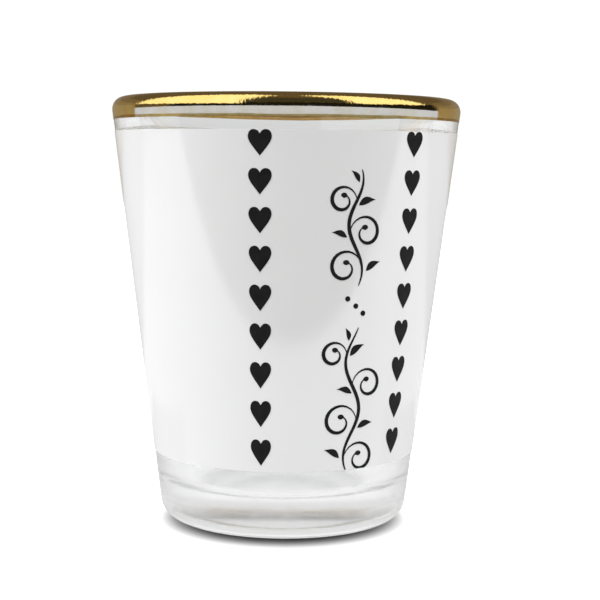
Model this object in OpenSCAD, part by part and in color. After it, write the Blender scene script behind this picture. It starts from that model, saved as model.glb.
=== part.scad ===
// Shot glass: a thick-based clear glass tumbler with a white print coat, black printed marks
// and a gilded lip. Millimetres, +Z up, origin at the centre of the resting ring.
// The printed marks face -Y, and angles round the glass are counted from there towards +X.

/* [Glass] */
// Height over the gilded lip
height = 60; // [55:0.5:70]
// Diameter at the top, where the straight wall line would reach the full height
rim_d = 49.8; // [48:0.1:54]
// Diameter at the table, where the straight wall line would reach the ground
foot_d = 34.9; // [33:0.1:38]
// Radius of the round lip
lip_r = 1.75; // [1.2:0.05:1.9]
// Radius of the round heel
heel_r = 2.8; // [1.5:0.1:3]
// Height of the cup's floor above the table
floor_z = 5.5; // [4.5:0.1:8]
// Diameter of the cup where its wall line meets its floor
cup_d = 25.4; // [23:0.1:27]
// Radius of the corner between the cup's wall and its floor
cup_corner_r = 1.8; // [1.5:0.1:4]
// Diameter of the hollow in the underside
hollow_d = 25; // [20:0.5:27]
// Depth of the hollow in the underside
hollow_h = 0.9; // [0.5:0.1:1.5]

/* [White coat] */
// Height of the coat's lower edge
coat_foot_z = 9.9; // [8:0.1:14]
// Height of the coat's upper edge
coat_top_z = 55.2; // [50:0.1:56]
// Thickness of the coat
coat_t = 0.08; // [0.06:0.01:0.12]

/* [Gold band] */
// How far the band reaches down the outside
gold_outside = 3.2; // [2.6:0.1:4]
// How far the band reaches down the inside
gold_inside = 2.2; // [2.2:0.1:3.5]
// Thickness of the gold
gold_t = 0.05; // [0.04:0.01:0.08]

/* [Ink] */
// Thickness of the ink on the coat
ink_t = 0.04; // [0.03:0.01:0.06]
// Number of hearts in a column
hearts = 9; // [3:1:9]
// Height of the centre of the top hearts
heart_top_z = 53.5; // [50:0.1:53.6]
// Width of a heart at the top of a column
heart_w = 3.1; // [2:0.1:4]
// Height of a heart at the top of a column
heart_h = 3.35; // [2:0.05:4]
// Distance between the first two hearts of the left column
left_pitch = 4.93; // [4.5:0.01:4.95]
// Distance between the first two hearts of the right column
right_pitch = 5.06; // [4.5:0.01:5.1]
// How much each gap of the left column is longer than the gap above it
left_stretch = 0.054; // [0:0.002:0.06]
// How much narrower the print is at the foot of a column, as a share
print_narrowing = 0.12; // [0:0.01:0.2]
// How much taller the print is at the foot of a column, as a share
print_lengthening = 0.08; // [0:0.01:0.2]
// Angle of the left column at the print's top
left_top_angle = -8; // [-12:0.1:-6]
// Angle of the left column at the print's foot
left_foot_angle = -9; // [-12:0.1:-6]
// Angle of the right column at the print's top
right_top_angle = 44.3; // [42:0.1:48]
// Angle of the right column at the print's foot
right_foot_angle = 51; // [48:0.1:54]
// Angle of the vine at the print's top
vine_top_angle = 22; // [20:0.1:24]
// Angle of the vine at the print's foot
vine_foot_angle = 28; // [26:0.1:30]

/* [Hidden] */
// A vine's line is [foot height, top height, swing, wave length, phase].
// A curl is [height on the stem, side, radius].
// A leaf is [height on the stem, side, angle from the stem, length].
upper_line = [35, 50.2, 1, 12, 30];
upper_curls = [[37.4, -1, 2.5], [42, 1, 2.4], [46.2, -1, 2]];
upper_leaves = [[36.6, 1, 55, 2.5], [41.2, -1, 50, 2.2], [45.4, 1, 48, 2.6], [48, -1, 52, 1.9]];
lower_line = [9.2, 29.4, 1.1, 13, 200];
lower_curls = [[11.4, 1, 2.5], [16.6, -1, 2.6], [21.6, 1, 2.4], [25.8, -1, 1.9]];
lower_leaves = [[11.3, -1, 55, 2.5], [15.5, 1, 50, 2.5], [20.3, -1, 50, 2.3], [25.2, 1, 48, 2.6], [27, -1, 42, 1.8]];

// Berries [distance from the vine's line, height]
berries = [[0.2, 32.3], [1.3, 31.3], [-1, 33.3]];

clear_glass = [0.86, 0.9, 0.9, 0.4];
coat_white = [0.93, 0.93, 0.94];
gold = [0.83, 0.65, 0.25];
ink_black = [0.13, 0.13, 0.13];

glass_top_z = height - gold_t;
lip_z = glass_top_z - lip_r;
wall_angle = atan((rim_d - foot_d) / 2 / height);
lip_centre_r = wall_r(lip_z) - lip_r / cos(wall_angle);
cup_top_r = lip_centre_r - lip_r;
cup_angle = atan((cup_top_r - cup_d / 2) / (lip_z - floor_z));
arc_steps = 16;

// The print is laid out between these two heights, which carry the top and foot angles.
print_top_z = 53.5;
print_foot_z = 13;

// Outer radius of the bare glass at height z
function wall_r(z) = foot_d / 2 + (rim_d - foot_d) / 2 * z / height;

// Points on an arc about [r, z], from one angle to another
function arc(centre, radius, from, to) =
    [for (i = [0:arc_steps]) let (a = from + (to - from) * i / arc_steps)
        centre + radius * [cos(a), sin(a)]];

// Lip arc with its flanks square to the outer and the inner wall lines
function lip_arc(radius) =
    arc([lip_centre_r, lip_z], radius, -wall_angle, 180 + cup_angle);

// Centre of a round of radius c inside the corner between a wall and a level line
function heel_centre() =
    [foot_d / 2 + heel_r * tan(wall_angle) - heel_r / cos(wall_angle), heel_r];
function cup_corner_centre() =
    [cup_d / 2 + cup_corner_r * tan(cup_angle) - cup_corner_r / cos(cup_angle),
     floor_z + cup_corner_r];

// Shallow dome of the underside, from the axis to the edge of the resting ring
function hollow_line() =
    let (steps = 10)
    [for (i = [0:steps]) let (x = i / steps) [hollow_d / 2 * x, hollow_h * (1 - x * x)]];

// Glass

module glass_body() {
    color(clear_glass)
    rotate_extrude($fn = 180)
    polygon(concat(
        hollow_line(),
        arc(heel_centre(), heel_r, -90, -wall_angle),
        lip_arc(lip_r),
        arc(cup_corner_centre(), cup_corner_r, cup_angle, -90),
        [[0, floor_z]]
    ));
}

// White coat, a thin sleeve on the outside of the wall

module sleeve(foot_z, top_z, inner_t, outer_t) {
    rotate_extrude($fn = 180)
    polygon([
        [wall_r(foot_z) + inner_t, foot_z],
        [wall_r(foot_z) + outer_t, foot_z],
        [wall_r(top_z) + outer_t, top_z],
        [wall_r(top_z) + inner_t, top_z]
    ]);
}

module white_coat() {
    color(coat_white)
    sleeve(coat_foot_z, coat_top_z, 0, coat_t);
}

// Gold band, folded over the lip

// Line down the outer wall, over the lip and down the inner wall, a gap away from the glass
function lip_line(gap) =
    let (
        outer_z = height - gold_outside,
        inner_z = height - gold_inside,
        out = gap * [cos(wall_angle), -sin(wall_angle)],
        inward = gap * [-cos(cup_angle), -sin(cup_angle)]
    )
    concat(
        [[wall_r(outer_z), outer_z] + out],
        lip_arc(lip_r + gap),
        [[cup_top_r - (lip_z - inner_z) * tan(cup_angle), inner_z] + inward]
    );

function reversed(points) = [for (i = [len(points) - 1:-1:0]) points[i]];

module gold_rim_band() {
    color(gold)
    rotate_extrude($fn = 180)
    polygon(concat(lip_line(gold_t), reversed(lip_line(0))));
}

// Printed marks
// A mark is outlined in print coordinates: [distance to the right along the surface, height].

// Angle of a print line that leans from a top angle to a foot angle
function print_angle(angles, z) =
    angles[1] + (angles[0] - angles[1]) * (z - print_foot_z) / (print_top_z - print_foot_z);

// Wraps print points round the wall, and looks at them along the angle facing
function wrapped(points, angles, facing) =
    [for (p = points) let (a = print_angle(angles, p[1]) - facing
            + p[0] / wall_r(p[1]) * 180 / PI)
        [wall_r(p[1]) * sin(a), p[1]]];

// Ink patch: the part of the ink layer that lies behind the outlines
module ink_patch(outlines, angles, facing) {
    color(ink_black)
    intersection() {
        sleeve(coat_foot_z, coat_top_z, coat_t, coat_t + ink_t);
        rotate([90, 0, facing])
        linear_extrude(height = rim_d)
        for (outline = outlines)
            polygon(wrapped(outline, angles, facing));
    }
}

// Hearts

function bezier(p, t) =
    p[0] * pow(1 - t, 3) + p[1] * 3 * t * pow(1 - t, 2)
    + p[2] * 3 * t * t * (1 - t) + p[3] * pow(t, 3);

// Right half of a heart of width 1 and height 1, from the notch over the lobe to the tip
heart_curves = [
    [[0, 0.33], [0.05, 0.42], [0.12, 0.5], [0.25, 0.5]],
    [[0.25, 0.5], [0.4, 0.5], [0.5, 0.39], [0.5, 0.23]],
    [[0.5, 0.23], [0.5, 0.02], [0.2, -0.25], [0, -0.5]]
];
heart_steps = 7;
heart_right = [for (c = heart_curves) for (i = [0:heart_steps - 1]) bezier(c, i / heart_steps)];
heart_left = [for (p = reversed(heart_right)) if (p[0] > 0) [-p[0], p[1]]];
heart_outline = concat(heart_right, [[0, -0.5]], heart_left);

// Height of the centre of heart number i, counted from 1 at the top
function heart_z(i, pitch, stretch) =
    heart_top_z - pitch * (i - 1) - stretch * (i - 1) * (i - 2) / 2;

module heart(z, angles) {
    down = (print_top_z - z) / (print_top_z - print_foot_z);
    w = heart_w * (1 - print_narrowing * down);
    h = heart_h * (1 + print_lengthening * down);
    ink_patch([[for (p = heart_outline) [p[0] * w, z + p[1] * h]]], angles, print_angle(angles, z));
}

module left_heart(i) {
    heart(heart_z(i, left_pitch, left_stretch), [left_top_angle, left_foot_angle]);
}

module right_heart(i) {
    heart(heart_z(i, right_pitch, 0), [right_top_angle, right_foot_angle]);
}

// Vine

vine_angles = [vine_top_angle, vine_foot_angle];
vine_facing = (vine_top_angle + vine_foot_angle) / 2;
// Half widths of the pen strokes
thin = 0.11;
thick = 0.25;

// Outline of a pen stroke along a path, with a half width at each point
function stroke(path, half) =
    let (
        last = len(path) - 1,
        along = [for (i = [0:last]) path[min(i + 1, last)] - path[max(i - 1, 0)]],
        side = [for (d = along) [-d[1], d[0]] / norm(d)]
    )
    concat(
        [for (i = [0:last]) path[i] + side[i] * half[i]],
        [for (i = [last:-1:0]) path[i] - side[i] * half[i]]
    );

// Point on a vine's wavy stem at height z
function stem_point(line, z) = [line[2] * sin(360 * (z - line[0]) / line[3] + line[4]), z];

// Stem, swelling between two pointed ends
function stem(line) =
    let (
        steps = 40,
        path = [for (i = [0:steps]) stem_point(line, line[0] + (line[1] - line[0]) * i / steps)],
        half = [for (i = [0:steps]) thin / 2 + (thick - thin / 2) * pow(sin(180 * i / steps), 0.7)]
    )
    stroke(path, half);

// Point on a curl: a spiral that leaves the stem upwards and winds inwards
curl_turns = 1.3;
curl_end_r = 0.6;
function curl_point(line, c, t) =
    let (r = c[2] + (curl_end_r - c[2]) * t, a = 360 * curl_turns * t)
    stem_point(line, c[0]) + [c[1] * c[2], 0] + r * [-c[1] * cos(a), sin(a)];

// Curl with a swelling stroke that ends in a round drop
drop_r = 0.34;
drop_share = drop_r / (2 * PI * curl_turns * curl_end_r);
function curl_half(t) =
    let (from_drop = (1 - drop_share - t) / drop_share)
    max(
        thin / 2 + (thick - thin / 2) * pow(sin(180 * pow(t, 0.8)), 2),
        drop_r * sqrt(max(0, 1 - from_drop * from_drop))
    );

function curl(line, c) =
    let (
        steps = 40,
        shares = [for (i = [0:steps]) 1 - pow(1 - i / steps, 1.35)]
    )
    stroke([for (t = shares) curl_point(line, c, t)], [for (t = shares) curl_half(t)]);

// Leaf, a bowed blade that stands clear of the stem
leaf_gap = 0.7;
leaf_width = 0.36;
leaf_bow = 0.12;
function leaf(line, l) =
    let (
        steps = 12,
        up = stem_point(line, l[0] + 0.5) - stem_point(line, l[0] - 0.5),
        heading = atan2(up[1], up[0]) - l[1] * l[2],
        way = [cos(heading), sin(heading)],
        across = [-way[1], way[0]],
        rib = [for (i = [0:steps]) let (t = i / steps)
            stem_point(line, l[0]) + way * (leaf_gap + l[3] * t)
            + across * l[1] * leaf_bow * l[3] * sin(180 * t)],
        half = [for (i = [0:steps]) leaf_width * l[3] / 2 * pow(sin(180 * pow(i / steps, 0.8)), 1.2)]
    )
    concat(
        [for (i = [0:steps]) rib[i] + across * half[i]],
        [for (i = [steps - 1:-1:1]) rib[i] - across * half[i]]
    );

module vine(line, curls) {
    ink_patch(concat([stem(line)], [for (c = curls) curl(line, c)]), vine_angles, vine_facing);
}

module upper_vine() {
    vine(upper_line, upper_curls);
}

module lower_vine() {
    vine(lower_line, lower_curls);
}

module upper_leaf(i) {
    ink_patch([leaf(upper_line, upper_leaves[i - 1])], vine_angles, vine_facing);
}

module lower_leaf(i) {
    ink_patch([leaf(lower_line, lower_leaves[i - 1])], vine_angles, vine_facing);
}

// Berries, round dots between the two vines

berry_r = 0.36;
berry_steps = 20;

module berry(i) {
    rim = [for (k = [0:berry_steps - 1]) let (a = 360 * k / berry_steps) [cos(a), sin(a)]];
    ink_patch([[for (p = rim) berries[i - 1] + berry_r * p]], vine_angles, vine_facing);
}

glass_body();
white_coat();
gold_rim_band();
for (i = [1:hearts]) left_heart(i);
for (i = [1:hearts]) right_heart(i);
upper_vine();
lower_vine();
for (i = [1:len(upper_leaves)]) upper_leaf(i);
for (i = [1:len(lower_leaves)]) lower_leaf(i);
for (i = [1:len(berries)]) berry(i);
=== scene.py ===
import math

import bmesh
import bpy
from mathutils import Euler, Matrix, Vector


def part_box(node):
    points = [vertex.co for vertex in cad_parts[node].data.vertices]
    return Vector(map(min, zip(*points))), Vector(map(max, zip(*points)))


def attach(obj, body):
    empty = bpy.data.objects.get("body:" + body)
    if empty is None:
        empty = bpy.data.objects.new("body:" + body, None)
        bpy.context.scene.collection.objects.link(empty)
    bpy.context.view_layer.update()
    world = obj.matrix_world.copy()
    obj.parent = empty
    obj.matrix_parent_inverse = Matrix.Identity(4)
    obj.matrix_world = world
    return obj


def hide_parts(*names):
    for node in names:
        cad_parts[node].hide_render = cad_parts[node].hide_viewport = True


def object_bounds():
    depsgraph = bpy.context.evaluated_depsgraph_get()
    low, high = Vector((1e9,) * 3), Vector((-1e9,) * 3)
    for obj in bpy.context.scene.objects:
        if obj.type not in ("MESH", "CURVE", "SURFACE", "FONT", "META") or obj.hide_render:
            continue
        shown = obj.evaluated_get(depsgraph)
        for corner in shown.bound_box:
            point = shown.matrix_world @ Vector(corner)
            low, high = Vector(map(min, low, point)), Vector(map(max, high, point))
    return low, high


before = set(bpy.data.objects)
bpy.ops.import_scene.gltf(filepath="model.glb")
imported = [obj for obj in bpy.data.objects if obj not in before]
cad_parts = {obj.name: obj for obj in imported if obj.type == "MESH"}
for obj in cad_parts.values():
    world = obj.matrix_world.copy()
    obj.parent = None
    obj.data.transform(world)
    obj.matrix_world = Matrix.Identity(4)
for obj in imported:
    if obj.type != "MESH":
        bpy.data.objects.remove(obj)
cad_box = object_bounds()

MM = 0.001
SIDES = 256
# Bevel segments of the large rounds, and the angle up to which faces shade as one
ROUND_STEPS = 14
SMOOTH_ANGLE = 35

# Sizes of the glass, the same as the design's driving dimensions
HEIGHT = cad_box[1].z
RIM_R = 24.9 * MM
FOOT_R = 17.45 * MM
LIP_R = 1.75 * MM
HEEL_R = 2.8 * MM
FLOOR_Z = 5.5 * MM
CUP_FOOT_R = 12.7 * MM
CUP_CORNER_R = 1.8 * MM
HOLLOW_R = 12.5 * MM
HOLLOW_H = 0.9 * MM
HOLLOW_SHOULDER_R = HOLLOW_R * 0.5
HOLLOW_CURVE = HOLLOW_R * 0.45
HOLLOW_EDGE_ROUND = 0.7 * MM
COAT_FOOT_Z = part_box("white_coat")[0].z
COAT_TOP_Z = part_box("white_coat")[1].z
COAT_T = 0.08 * MM
GOLD_FOOT_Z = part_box("gold_rim_band")[0].z
GOLD_INSIDE_Z = HEIGHT - 2.2 * MM
GOLD_T = 0.05 * MM
# How far coat and gold reach into the glass, so that no air shows between them
BOND = 0.02 * MM
# Faces of the glass closer to its outer wall than this are outside faces
WALL_NEAR = 0.5 * MM

# Noise textures lie mostly between these two values
NOISE_LOW, NOISE_HIGH = 0.3, 0.7

# Camera
CAMERA_PLACE = (0, -210 * MM, 50.95 * MM)
CAMERA_PITCH, CAMERA_PAN, CAMERA_ROLL = math.radians(-5.37), math.radians(-0.6), 0.0103
LENS, SENSOR = 87.5, 36

# Colours and brightness of the stage
WHITE = (1, 1, 1)
BOX_WHITE = (1, 1, 0.95)
WARM = (1, 0.87, 0.66)
WARM_MIDDLE = (1, 0.85, 0.66)
WARM_TOP = (1, 0.83, 0.66)
DUSK = (1, 0.82, 0.66)
# Blue, so that the card's mirror image in yellow gold is pale
TABLE_TINT = (0.68, 0.9, 2.35)
WORLD_GLOW = 0.44
PAPER_GLOW, PAPER_BEHIND_GLOW, PAPER_BESIDE_GLOW = 0.95, 0.6, 0.7
TABLE_GLOW, TABLE_BEHIND_GLOW = 0.93, 0.33
BOX_GLOW = 1.3

# Domes round the object, and how far the floor lies below it
STAGE_R = 1.6
GLASS_DOME_R = STAGE_R - 0.1
DARK_DOME_R = STAGE_R - 0.2
FLOOR_GAP = 0.05 * MM
# Grey of the floor's colour at each distance from the middle of the painted contact shadow
SHADOW_CENTRE_Y = -3 * MM
SHADOW_REACH = 24 * MM
SHADOW_STEPS = (
    (12 * MM, 0.02),
    (14 * MM, 0.06),
    (16.2 * MM, 0.34),
    (18.5 * MM, 0.82),
    (20.8 * MM, 0.96),
)

# Paper in the mirror images: its front edge and that edge's lean, and where it dims behind
PAPER_EDGE_Y, PAPER_LEAN = -94 * MM, 0.06
PAPER_DIM_Y = 130 * MM
PAPER_Z = -MM
PAPER_HALF_WIDTH, PAPER_FAR_Y = STAGE_R * 0.8, STAGE_R * 0.6
BESIDE_Z = -0.8 * MM
BESIDE_X, BESIDE_Y = (-70 * MM, 70 * MM), (-10 * MM, 60 * MM)

# Table in the gold's mirror image: bright out to a turn to each side, dim behind
TABLE_TURN = 114.5
TABLE_NEAR, TABLE_FAR = 0.279, 1.14
# The near edge falls back with the turn, as fast as this share of it and up to a last turn
TABLE_TURN_SHARE, TABLE_LAST_TURN = 0.555, 130

# Cards in the mirror images: turns and lifts in degrees, distance, colour and brightness
CARD_R = 1.1
BACKING_R = 1.15
CARDS = {
    "left_box": ((-112, -30), (14, 82), CARD_R, BOX_WHITE, BOX_GLOW),
    "right_box": ((45, 104), (22, 82), CARD_R, BOX_WHITE, BOX_GLOW),
    "dark_side": ((-80, 112), (-4, 24), BACKING_R, WHITE, 0.012),
    "card_behind": ((TABLE_TURN, 360 - TABLE_TURN), (0, 10), CARD_R, WARM, 0.33),
    "card_behind_middle": ((TABLE_TURN, 360 - TABLE_TURN), (10, 18), CARD_R, WARM_MIDDLE, 0.26),
    "card_behind_top": ((TABLE_TURN, 360 - TABLE_TURN), (18, 28), CARD_R, WARM_TOP, 0.19),
    "camera_side": ((-36, 48), (24, 62), BACKING_R, WHITE, 0.05),
}

WALL_ANGLE = math.atan((RIM_R - FOOT_R) / HEIGHT)
LIP_Z = HEIGHT - GOLD_T - LIP_R
LIP_CENTRE_R = FOOT_R + (RIM_R - FOOT_R) * LIP_Z / HEIGHT - LIP_R / math.cos(WALL_ANGLE)
CUP_ANGLE = math.atan((LIP_CENTRE_R - LIP_R - CUP_FOOT_R) / (LIP_Z - FLOOR_Z))


# Radii at a height, and small tools for edit mode

def wall_r(z):
    """Outer radius of the bare glass at a height."""
    return FOOT_R + (RIM_R - FOOT_R) * z / HEIGHT


def cup_r(z):
    """Inner radius of the cup at a height."""
    return CUP_FOOT_R + (z - FLOOR_Z) * math.tan(CUP_ANGLE)


def deselect():
    if bpy.context.object and bpy.context.object.mode == "EDIT":
        bpy.ops.object.mode_set(mode="OBJECT")
    bpy.ops.object.select_all(action="DESELECT")


def start_line(name, point):
    """A plane collapsed to one vertex, moved to the first point of a profile."""
    deselect()
    bpy.ops.mesh.primitive_plane_add(size=MM)
    piece = bpy.context.object
    piece.name = name
    bpy.ops.object.mode_set(mode="EDIT")
    bpy.ops.mesh.select_all(action="SELECT")
    bpy.ops.mesh.merge(type="CENTER")
    bpy.ops.transform.translate(value=point)
    return piece


def draw_line(points):
    for a, b in zip(points, points[1:]):
        bpy.ops.mesh.extrude_vertices_move(TRANSFORM_OT_translate={"value": b - a})


def round_corner(piece, corner, reach, segments):
    """Bevels the one profile vertex at a corner, reach being how far along its lines."""
    bpy.ops.mesh.select_all(action="DESELECT")
    mesh = bmesh.from_edit_mesh(piece.data)
    nearest = min(mesh.verts, key=lambda v: (v.co - corner).length)
    nearest.select_set(True)
    mesh.select_flush(True)
    bmesh.update_edit_mesh(piece.data)
    bpy.ops.mesh.bevel(offset=reach, segments=segments, affect="VERTICES")


def spin_round():
    bpy.ops.mesh.select_all(action="SELECT")
    bpy.ops.mesh.spin(steps=SIDES, angle=2 * math.pi, center=(0, 0, 0), axis=(0, 0, 1))
    bpy.ops.mesh.select_all(action="SELECT")
    bpy.ops.mesh.remove_doubles(threshold=0.001 * MM)
    bpy.ops.mesh.normals_make_consistent(inside=False)


def smooth(piece):
    deselect()
    piece.select_set(True)
    bpy.context.view_layer.objects.active = piece
    bpy.ops.object.shade_smooth_by_angle(angle=math.radians(SMOOTH_ANGLE))
    deselect()


# Glass

def tangent(radius, angle):
    """Distance from a corner of that inner angle to where a round of the radius begins."""
    return radius / math.tan(angle / 2)


def make_glass():
    right_angle = math.pi / 2
    lip_top = HEIGHT - GOLD_T
    heel = Vector((FOOT_R, 0, 0))
    lip_out = Vector((wall_r(lip_top), 0, lip_top))
    lip_in = Vector((cup_r(lip_top), 0, lip_top))
    cup_corner = Vector((CUP_FOOT_R, 0, FLOOR_Z))
    hollow_edge = Vector((HOLLOW_R, 0, 0))
    hollow_shoulder = Vector((HOLLOW_SHOULDER_R, 0, HOLLOW_H))
    line = [
        Vector((0, 0, HOLLOW_H)), hollow_shoulder, hollow_edge, heel,
        Vector((wall_r(COAT_FOOT_Z), 0, COAT_FOOT_Z)),
        Vector((wall_r(COAT_TOP_Z), 0, COAT_TOP_Z)),
        Vector((wall_r(GOLD_FOOT_Z), 0, GOLD_FOOT_Z)),
        lip_out, lip_in,
        Vector((cup_r(GOLD_INSIDE_Z), 0, GOLD_INSIDE_Z)),
        cup_corner, Vector((0, 0, FLOOR_Z)),
    ]
    glass = start_line("glass", line[0])
    draw_line(line)
    round_corner(glass, hollow_shoulder, HOLLOW_CURVE, 10)
    round_corner(glass, hollow_edge, HOLLOW_EDGE_ROUND, 4)
    round_corner(glass, heel, tangent(HEEL_R, right_angle + WALL_ANGLE), ROUND_STEPS)
    # A hair short, so that the lip's two rounds do not meet in one point
    round_corner(glass, lip_out, tangent(LIP_R, right_angle - WALL_ANGLE) * 0.999, ROUND_STEPS)
    round_corner(glass, lip_in, tangent(LIP_R, right_angle + CUP_ANGLE) * 0.999, ROUND_STEPS)
    round_corner(glass, cup_corner, tangent(CUP_CORNER_R, right_angle + CUP_ANGLE), ROUND_STEPS)
    spin_round()
    smooth(glass)
    return glass


# Coat and gold, lifted from the glass's own faces so that they hug it

def lift_skin(source, name, keep, thickness):
    """Copies the faces of source that keep() takes, and gives them a wall outwards."""
    deselect()
    source.select_set(True)
    bpy.context.view_layer.objects.active = source
    bpy.ops.object.duplicate()
    skin = bpy.context.object
    skin.name = name
    bpy.ops.object.mode_set(mode="EDIT")
    bpy.ops.mesh.select_all(action="DESELECT")
    bpy.ops.mesh.select_mode(type="FACE")
    mesh = bmesh.from_edit_mesh(skin.data)
    for face in mesh.faces:
        face.select_set(not keep(face))
    bmesh.update_edit_mesh(skin.data)
    bpy.ops.mesh.delete(type="FACE")
    bpy.ops.object.mode_set(mode="OBJECT")
    wall = skin.modifiers.new("wall", "SOLIDIFY")
    wall.thickness = thickness + BOND
    wall.offset = (thickness - BOND) / (thickness + BOND)
    wall.use_even_offset = True
    bpy.ops.object.modifier_apply(modifier=wall.name)
    smooth(skin)
    return skin


def is_coat(face):
    centre = face.calc_center_median()
    outside = math.hypot(centre.x, centre.y) > wall_r(centre.z) - WALL_NEAR
    return outside and COAT_FOOT_Z < centre.z < COAT_TOP_Z


def is_gold(face):
    centre = face.calc_center_median()
    outside = math.hypot(centre.x, centre.y) > LIP_CENTRE_R
    return centre.z > (GOLD_FOOT_Z if outside else GOLD_INSIDE_Z)


# Materials

def new_material(name):
    material = bpy.data.materials.new(name)
    material.use_nodes = True
    shader = material.node_tree.nodes["Principled BSDF"]
    return material, material.node_tree, shader


def add_node(tree, kind, **values):
    """A node with named inputs or settings given."""
    node = tree.nodes.new(kind)
    for key, value in values.items():
        if key in node.inputs:
            node.inputs[key].default_value = value
        else:
            setattr(node, key, value)
    return node


def noise(tree, scale, detail=3.0, stretch=(1, 1, 1)):
    """Noise in the piece's own Object coordinates, scale being features per metre."""
    place = add_node(tree, "ShaderNodeTexCoord")
    mapping = add_node(tree, "ShaderNodeMapping", Scale=stretch)
    texture = add_node(tree, "ShaderNodeTexNoise", Scale=scale, Detail=detail)
    tree.links.new(place.outputs["Object"], mapping.inputs["Vector"])
    tree.links.new(mapping.outputs["Vector"], texture.inputs["Vector"])
    return texture.outputs["Fac"]


def spread(tree, source, low, high):
    """Maps noise to a range of numbers."""
    node = add_node(tree, "ShaderNodeMapRange")
    node.inputs["From Min"].default_value = NOISE_LOW
    node.inputs["From Max"].default_value = NOISE_HIGH
    node.inputs["To Min"].default_value = low
    node.inputs["To Max"].default_value = high
    tree.links.new(source, node.inputs["Value"])
    return node.outputs["Result"]


def colour_between(tree, source, low, high):
    """Maps noise to the colours from one to another."""
    ramp = add_node(tree, "ShaderNodeValToRGB")
    ramp.color_ramp.elements[0].position = NOISE_LOW
    ramp.color_ramp.elements[0].color = (*low, 1)
    ramp.color_ramp.elements[1].position = NOISE_HIGH
    ramp.color_ramp.elements[1].color = (*high, 1)
    tree.links.new(source, ramp.inputs["Fac"])
    return ramp.outputs["Color"]


def bump(tree, source, depth, below=None):
    """Surface relief of a depth in metres, on top of the relief below if there is one."""
    node = add_node(tree, "ShaderNodeBump", Strength=1.0, Distance=depth)
    tree.links.new(source, node.inputs["Height"])
    if below is not None:
        tree.links.new(below, node.inputs["Normal"])
    return node.outputs["Normal"]


def height_share(tree, low, high, ragged=0.0):
    """0 below the height low and 1 above high, with an edge as ragged as asked."""
    place = add_node(tree, "ShaderNodeTexCoord")
    axes = add_node(tree, "ShaderNodeSeparateXYZ")
    tree.links.new(place.outputs["Object"], axes.inputs["Vector"])
    height = axes.outputs["Z"]
    if ragged:
        wander = spread(tree, noise(tree, 150, 4), -ragged, ragged)
        shifted = add_node(tree, "ShaderNodeMath", operation="ADD")
        tree.links.new(height, shifted.inputs[0])
        tree.links.new(wander, shifted.inputs[1])
        height = shifted.outputs["Value"]
    share = add_node(tree, "ShaderNodeMapRange", interpolation_type="SMOOTHSTEP")
    share.inputs["From Min"].default_value = low
    share.inputs["From Max"].default_value = high
    tree.links.new(height, share.inputs["Value"])
    return share.outputs["Result"]


def mixed(tree, share, low, high, kind="RGBA"):
    """Between two colours, or with kind FLOAT two numbers, given as values or sockets."""
    node = add_node(tree, "ShaderNodeMix", data_type=kind)
    # The Mix node's own numbers for its two inputs and its output of each kind
    ends = {"RGBA": (6, 7, 2), "FLOAT": (2, 3, 0)}[kind]
    tree.links.new(share, node.inputs[0])
    for place, value in zip(ends, (low, high)):
        if hasattr(value, "node"):
            tree.links.new(value, node.inputs[place])
        elif kind == "RGBA":
            node.inputs[place].default_value = (*value, 1)
        else:
            node.inputs[place].default_value = value
    return node.outputs[ends[2]]


def clear_glass():
    """Clear above, and softly hazy in the thick base."""
    material, tree, shader = new_material("clear_glass")
    shader.inputs["Base Color"].default_value = (0.976, 0.982, 0.979, 1)
    shader.inputs["Transmission Weight"].default_value = 1.0
    shader.inputs["IOR"].default_value = 1.51
    haze = spread(tree, noise(tree, 400, 4), 0.0, 0.02)
    base_haze = spread(tree, noise(tree, 250, 4), 0.14, 0.22)
    roughness = mixed(tree, height_share(tree, 9 * MM, 11 * MM), base_haze, haze, "FLOAT")
    tree.links.new(roughness, shader.inputs["Roughness"])
    ripple = bump(tree, noise(tree, 120, 1.5), 0.02 * MM)
    tree.links.new(ripple, shader.inputs["Normal"])
    return material


def white_coat():
    """Baked white enamel with a faint peel, its IOR raised for a stronger gloss."""
    material, tree, shader = new_material("white_coat")
    shade = colour_between(tree, noise(tree, 90, 4), (0.855, 0.856, 0.857), (0.875, 0.876, 0.877))
    tree.links.new(shade, shader.inputs["Base Color"])
    sheen = spread(tree, noise(tree, 300, 4), 0.08, 0.14)
    tree.links.new(sheen, shader.inputs["Roughness"])
    peel = bump(tree, noise(tree, 1800, 2), 0.002 * MM)
    tree.links.new(peel, shader.inputs["Normal"])
    shader.inputs["IOR"].default_value = 2.1
    return material


def gold_lustre():
    """Fired gold, with a dark reflection painted into its colour along its ragged lower edge."""
    material, tree, shader = new_material("gold_lustre")
    shader.inputs["Metallic"].default_value = 1.0
    bright = colour_between(tree, noise(tree, 500, 5), (0.86, 0.62, 0.2), (0.95, 0.71, 0.27))
    # Painted dark reflection: darker gold colour along the band's lower edge
    painted_dark_edge = colour_between(tree, noise(tree, 900, 4), (0.42, 0.24, 0.03), (0.58, 0.36, 0.07))
    above_edge = height_share(tree, GOLD_FOOT_Z + 0.3 * MM, GOLD_FOOT_Z + 0.42 * MM, 0.06 * MM)
    tree.links.new(mixed(tree, above_edge, painted_dark_edge, bright), shader.inputs["Base Color"])
    sheen = spread(tree, noise(tree, 700, 5, (1, 1, 5)), 0.05, 0.12)
    tree.links.new(mixed(tree, above_edge, 0.1, sheen, "FLOAT"), shader.inputs["Roughness"])
    # The paint lies flat on the straight side and in small lumps over the lip
    lip = height_share(tree, LIP_Z - 0.1 * MM, LIP_Z + 0.3 * MM)
    wavy = bump(tree, mixed(tree, lip, 0.5, noise(tree, 160, 2, (1, 1, 3)), "FLOAT"), 0.02 * MM)
    lumpy = bump(tree, mixed(tree, lip, 0.5, noise(tree, 2200, 3), "FLOAT"), 0.024 * MM, wavy)
    brushed = bump(tree, noise(tree, 1500, 3, (1, 1, 6)), 0.001 * MM, lumpy)
    tree.links.new(brushed, shader.inputs["Normal"])
    return material


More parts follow.
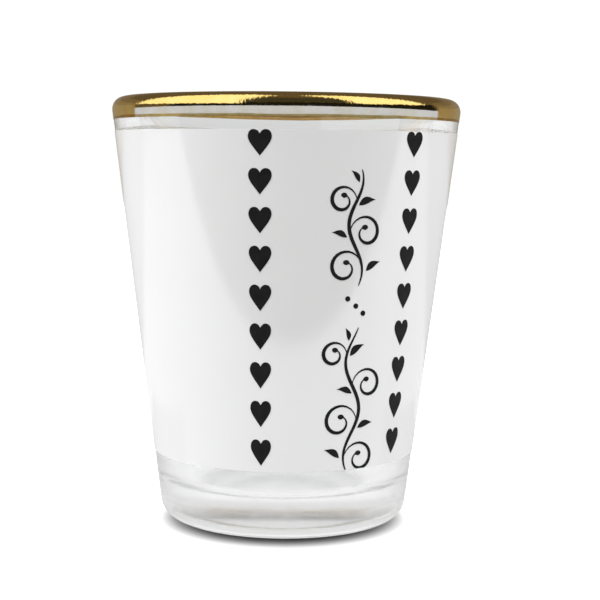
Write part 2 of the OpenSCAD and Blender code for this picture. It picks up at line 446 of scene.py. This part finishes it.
def black_ink():
    """Dull black print ink."""
    material, tree, shader = new_material("black_ink")
    shade = colour_between(tree, noise(tree, 900, 5), (0.010, 0.010, 0.010), (0.015, 0.015, 0.015))
    tree.links.new(shade, shader.inputs["Base Color"])
    shader.inputs["Specular IOR Level"].default_value = 0.08
    sheen = spread(tree, noise(tree, 1200, 4), 0.4, 0.6)
    tree.links.new(sheen, shader.inputs["Roughness"])
    grain = bump(tree, noise(tree, 3000, 2), 0.002 * MM)
    tree.links.new(grain, shader.inputs["Normal"])
    return material


def paint(piece, material):
    piece.data.materials.clear()
    piece.data.materials.append(material)


# Studio

def glow(name, colour, strength):
    material = bpy.data.materials.new(name)
    material.use_nodes = True
    tree = material.node_tree
    tree.nodes.clear()
    out = add_node(tree, "ShaderNodeOutputMaterial")
    emission = add_node(tree, "ShaderNodeEmission", Color=(*colour, 1), Strength=strength)
    tree.links.new(emission.outputs["Emission"], out.inputs["Surface"])
    return material


def show_only(piece, *kinds):
    """Leaves a stage piece visible to those kinds of ray alone."""
    for kind in ("camera", "diffuse", "glossy", "transmission", "volume_scatter", "shadow"):
        setattr(piece, "visible_" + kind, kind in kinds)


def make_floor():
    """The table top that the camera sees, with a contact shadow painted into its colour. Its light
    and shade reach nothing else.
    """
    deselect()
    bpy.ops.mesh.primitive_circle_add(
        vertices=96, radius=STAGE_R, fill_type="NGON", location=(0, 0, -FLOOR_GAP)
    )
    bpy.ops.object.transform_apply()
    floor = bpy.context.object
    floor.name = "floor"
    material, tree, shader = new_material("floor")
    place = add_node(tree, "ShaderNodeTexCoord")
    away = add_node(tree, "ShaderNodeVectorMath", operation="DISTANCE")
    away.inputs[1].default_value = (0, SHADOW_CENTRE_Y, -FLOOR_GAP)
    tree.links.new(place.outputs["Object"], away.inputs[0])
    # Painted contact shadow: the floor's colour darkens towards the glass's foot
    shade = add_node(tree, "ShaderNodeValToRGB")
    shade.color_ramp.interpolation = "B_SPLINE"
    stops = shade.color_ramp.elements
    for reach, grey in SHADOW_STEPS:
        stops.new(reach / SHADOW_REACH).color = (grey, grey, grey, 1)
    share = add_node(tree, "ShaderNodeMath", operation="DIVIDE", use_clamp=True)
    share.inputs[1].default_value = SHADOW_REACH
    tree.links.new(away.outputs["Value"], share.inputs[0])
    tree.links.new(share.outputs["Value"], shade.inputs["Fac"])
    tree.links.new(shade.outputs["Color"], shader.inputs["Base Color"])
    shader.inputs["Roughness"].default_value = 0.9
    shader.inputs["Specular IOR Level"].default_value = 0.0
    paint(floor, material)
    show_only(floor, "camera")


def make_dome(name, radius, colour, strength, seen_by):
    """A plain glowing dome, seen only by the named kinds of ray."""
    deselect()
    bpy.ops.mesh.primitive_uv_sphere_add(segments=48, ring_count=24, radius=radius)
    dome = bpy.context.object
    dome.name = name
    paint(dome, glow(name, colour, strength))
    show_only(dome, *seen_by)


def make_patch(name, grid, colour, strength, seen_by):
    """A glowing sheet through rows of points, seen only by the named kinds of ray."""
    mesh = bmesh.new()
    rows = [[mesh.verts.new(point) for point in row] for row in grid]
    for low, high in zip(rows, rows[1:]):
        for a, b, c, d in zip(low, low[1:], high[1:], high):
            mesh.faces.new((a, b, c, d))
    data = bpy.data.meshes.new(name)
    mesh.to_mesh(data)
    mesh.free()
    patch = bpy.data.objects.new(name, data)
    bpy.context.scene.collection.objects.link(patch)
    paint(patch, glow(name, colour, strength))
    show_only(patch, *seen_by)
    return patch


def light_only(card, piece):
    """Lets the card's light reach that piece alone."""
    receivers = bpy.data.collections.new(card.name + "_receivers")
    receivers.objects.link(piece)
    card.light_linking.receiver_collection = receivers


def around(turn, lift, reach):
    """The point at a turn from the front towards the right, a lift and a distance."""
    turn, lift = math.radians(turn), math.radians(lift)
    flat = reach * math.cos(lift)
    return (flat * math.sin(turn), -flat * math.cos(turn), reach * math.sin(lift))


def steps(start, end, count):
    return [start + (end - start) * i / count for i in range(count + 1)]


def make_paper():
    """White paper under the glass, dimmer behind it and close beside it."""
    sides = (-PAPER_HALF_WIDTH, PAPER_HALF_WIDTH)
    front = [(x, PAPER_EDGE_Y + PAPER_LEAN * x, PAPER_Z) for x in sides]
    back = [(x, PAPER_DIM_Y, PAPER_Z) for x in sides]
    far = [(x, PAPER_FAR_Y, PAPER_Z) for x in sides]
    beside = [[(x, y, BESIDE_Z) for x in BESIDE_X] for y in BESIDE_Y]
    make_patch("paper", [front, back], WHITE, PAPER_GLOW, ["glossy"])
    make_patch("paper_behind", [back, far], WHITE, PAPER_BEHIND_GLOW, ["glossy"])
    make_patch("paper_beside", beside, WHITE, PAPER_BESIDE_GLOW, ["glossy"])


def table_grid(start, end):
    """Ring of table that the band's flat side mirrors, from one turn to another."""
    rows = []
    for turn in steps(start, end, 48):
        behind = min(abs(turn), 360 - abs(turn), TABLE_LAST_TURN)
        near = TABLE_NEAR / math.cos(math.radians(TABLE_TURN_SHARE * behind))
        rows.append([around(turn, 0, reach) for reach in (near, TABLE_FAR)])
    return rows


def make_table(gold):
    """The bright table, mirrored by the gold alone, and the dim table behind."""
    front = table_grid(-TABLE_TURN, TABLE_TURN)
    behind = table_grid(TABLE_TURN, 360 - TABLE_TURN)
    table = make_patch("table", front, TABLE_TINT, TABLE_GLOW, ["glossy"])
    light_only(table, gold)
    make_patch("table_behind", behind, WARM, TABLE_BEHIND_GLOW, ["glossy"])


def make_cards():
    """Two soft boxes, the dark between them, and warm cards behind."""
    for name, (turns, lifts, reach, colour, strength) in CARDS.items():
        rows = []
        for lift in steps(*lifts, 8):
            rows.append([around(turn, lift, reach) for turn in steps(*turns, 12)])
        make_patch(name, rows, colour, strength, ["glossy"])


def soft_light(name, place, target, size, power):
    """A square lamp that is not seen in mirror images or through the glass."""
    light = bpy.data.lights.new(name, "AREA")
    light.shape = "SQUARE"
    light.size = size
    light.energy = power
    lamp = bpy.data.objects.new(name, light)
    lamp.location = place
    lamp.rotation_euler = (Vector(target) - Vector(place)).to_track_quat("-Z", "Y").to_euler()
    bpy.context.scene.collection.objects.link(lamp)
    lamp.visible_glossy = False
    lamp.visible_transmission = False


def cup_light(height, size, power):
    """Light inside the cup, in place of the light that soaks through the thin coat."""
    light = bpy.data.lights.new("cup_light", "POINT")
    light.shadow_soft_size = size
    light.energy = power
    lamp = bpy.data.objects.new("cup_light", light)
    lamp.location = (0, 0, height)
    bpy.context.scene.collection.objects.link(lamp)
    show_only(lamp, "diffuse")


def sky_light(name, spread_angle, strength):
    """An even, soft light from straight above."""
    light = bpy.data.lights.new(name, "SUN")
    light.angle = math.radians(spread_angle)
    light.energy = strength
    lamp = bpy.data.objects.new(name, light)
    bpy.context.scene.collection.objects.link(lamp)
    lamp.visible_glossy = False
    lamp.visible_transmission = False


def make_world():
    world = bpy.data.worlds.new("studio")
    world.use_nodes = True
    world.node_tree.nodes["Background"].inputs["Color"].default_value = (1, 1, 1, 1)
    world.node_tree.nodes["Background"].inputs["Strength"].default_value = WORLD_GLOW
    bpy.context.scene.world = world


def make_camera():
    camera = bpy.data.cameras.new("camera")
    camera.lens = LENS
    camera.sensor_width = SENSOR
    camera.clip_start = 0.01
    camera.clip_end = 10
    holder = bpy.data.objects.new("camera", camera)
    turn = Euler((math.pi / 2 + CAMERA_PITCH, 0, CAMERA_PAN)).to_matrix()
    turn = turn @ Matrix.Rotation(CAMERA_ROLL, 3, "Z")
    holder.matrix_world = Matrix.Translation(CAMERA_PLACE) @ turn.to_4x4()
    bpy.context.scene.collection.objects.link(holder)
    bpy.context.scene.camera = holder


# The object

glass = make_glass()
coat = lift_skin(glass, "coat", is_coat, COAT_T)
gold = lift_skin(glass, "gold_band", is_gold, GOLD_T)
paint(glass, clear_glass())
# The glass casts no shadow, so the lamps light the coat through it
glass.visible_shadow = False
paint(coat, white_coat())
paint(gold, gold_lustre())
for piece, node, slot in (
    (glass, "glass_body", "clear_glass"),
    (coat, "white_coat", "white_coat"),
    (gold, "gold_rim_band", "gold_lustre"),
):
    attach(piece, "root")
    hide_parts(node)

ink = black_ink()
for name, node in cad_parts.items():
    if name not in ("glass_body", "white_coat", "gold_rim_band"):
        paint(node, ink)

# The stage

make_camera()
make_world()
make_floor()
make_dome("backdrop", STAGE_R, WHITE, 1.02, ["camera"])
make_dome("view_through_glass", GLASS_DOME_R, WHITE, 0.75, ["transmission"])
make_dome("dark_surroundings", DARK_DOME_R, DUSK, 0.12, ["glossy"])
floor_seen_through = [[(x, y, -0.5 * FLOOR_GAP) for x in (-0.8, 0.8)] for y in (-0.8, 0.8)]
make_patch("floor_through_glass", floor_seen_through, WHITE, 0.94, ["transmission"])
make_paper()
make_table(gold)
make_cards()
sky_light("sky", 90, 5.3)
cup_light(38 * MM, 8 * MM, 0.014)
middle = (0, 0, HEIGHT / 2)
soft_light("left", (-0.6, -0.2, 0.12), middle, 0.5, 2.2)
soft_light("right", (0.58, -0.19, 0.12), middle, 0.5, 1.4)
bpy.context.scene.view_settings.view_transform = "Standard"
